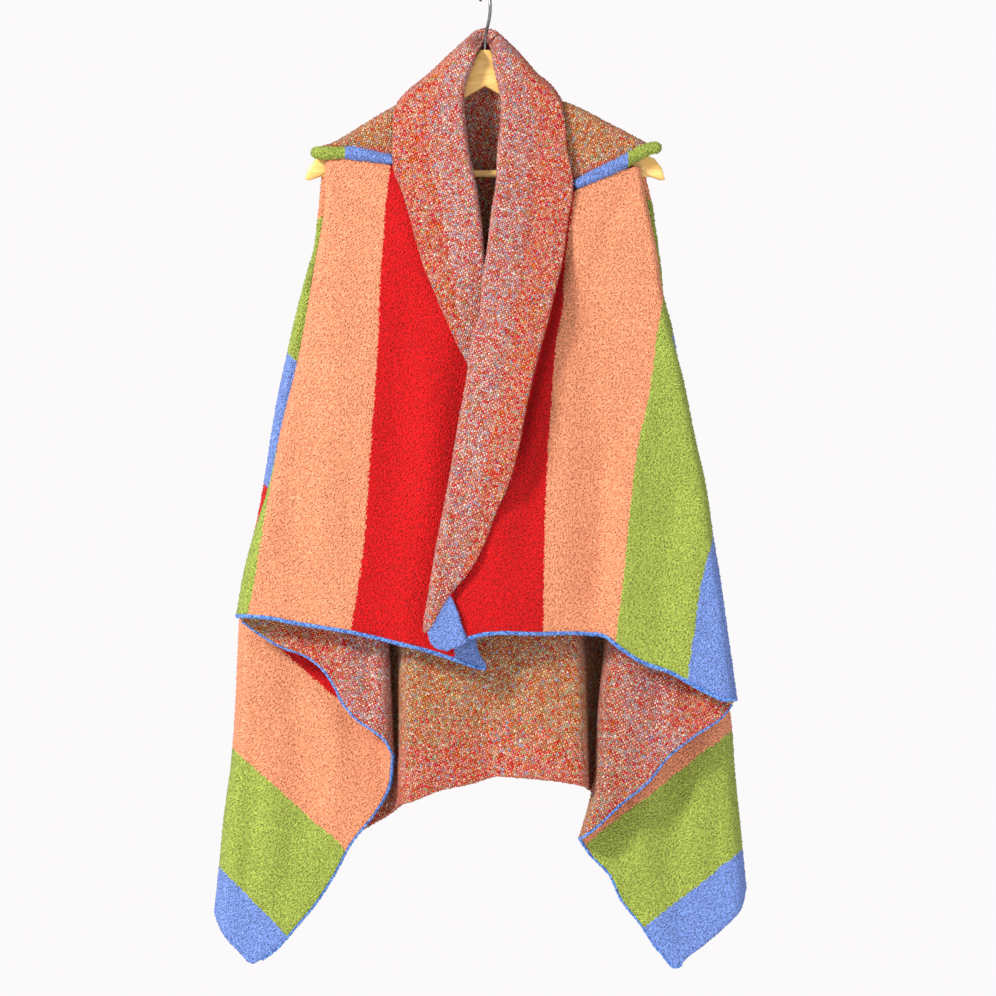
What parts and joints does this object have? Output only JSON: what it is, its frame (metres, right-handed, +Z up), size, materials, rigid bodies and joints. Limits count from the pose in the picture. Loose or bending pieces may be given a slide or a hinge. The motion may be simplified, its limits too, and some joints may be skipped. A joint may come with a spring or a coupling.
{
  "type": "knitted poncho vest on a wooden hanger",
  "caption": "Sleeveless knitted poncho vest with a shawl collar, long pointed tails and wide colour blocks, hung on a wooden hanger with a steel hook.",
  "frame": {"origin": "inside top of the hook's loop, where a rail carries it", "axes": "+Z up, the garment faces -Y, +X towards its wearer's left; the rail runs along X"},
  "size_m": [0.66, 0.1375, 1.2109],
  "materials": {
    "wood": "satin varnish",
    "steel": "satin",
    "face_peach": "boucle face, peach with its red, green and blue blocks",
    "face_green": "boucle face, green with its peach and blue blocks",
    "edge_blue": "blue knitted edging and rolled edges",
    "marl": "marl reverse of the knit",
    "marl_ochre": "marl reverse of the knit, warmer at the shoulders"
  },
  "bodies": {
    "root": {"armhole_roll_left": "edge_blue", "armhole_roll_right": "edge_blue", "back_panel": "marl", "back_pleats": "marl", "back_pleats_foot": "marl", "back_side_left": "marl", "back_side_right": "marl", "collar_back": "marl", "front_left": "face_peach", "front_right": "face_peach", "hanger_bar": "wood", "hanger_body": "wood", "hanger_hook": "steel", "hem_front_left": "edge_blue", "hem_front_right": "edge_blue", "hem_return_left": "edge_blue", "hem_return_right": "edge_blue", "hem_tail_left": "edge_blue", "hem_tail_right": "edge_blue", "lapel_left": "marl", "lapel_right": "marl", "lapel_tip_left": "edge_blue", "side_return_left": "marl", "side_return_right": "marl", "tail_left": "face_green", "tail_left_foot": "face_green", "tail_right": "face_green", "yoke_left": "marl_ochre", "yoke_right": "marl_ochre"}
  },
  "joints": []
}
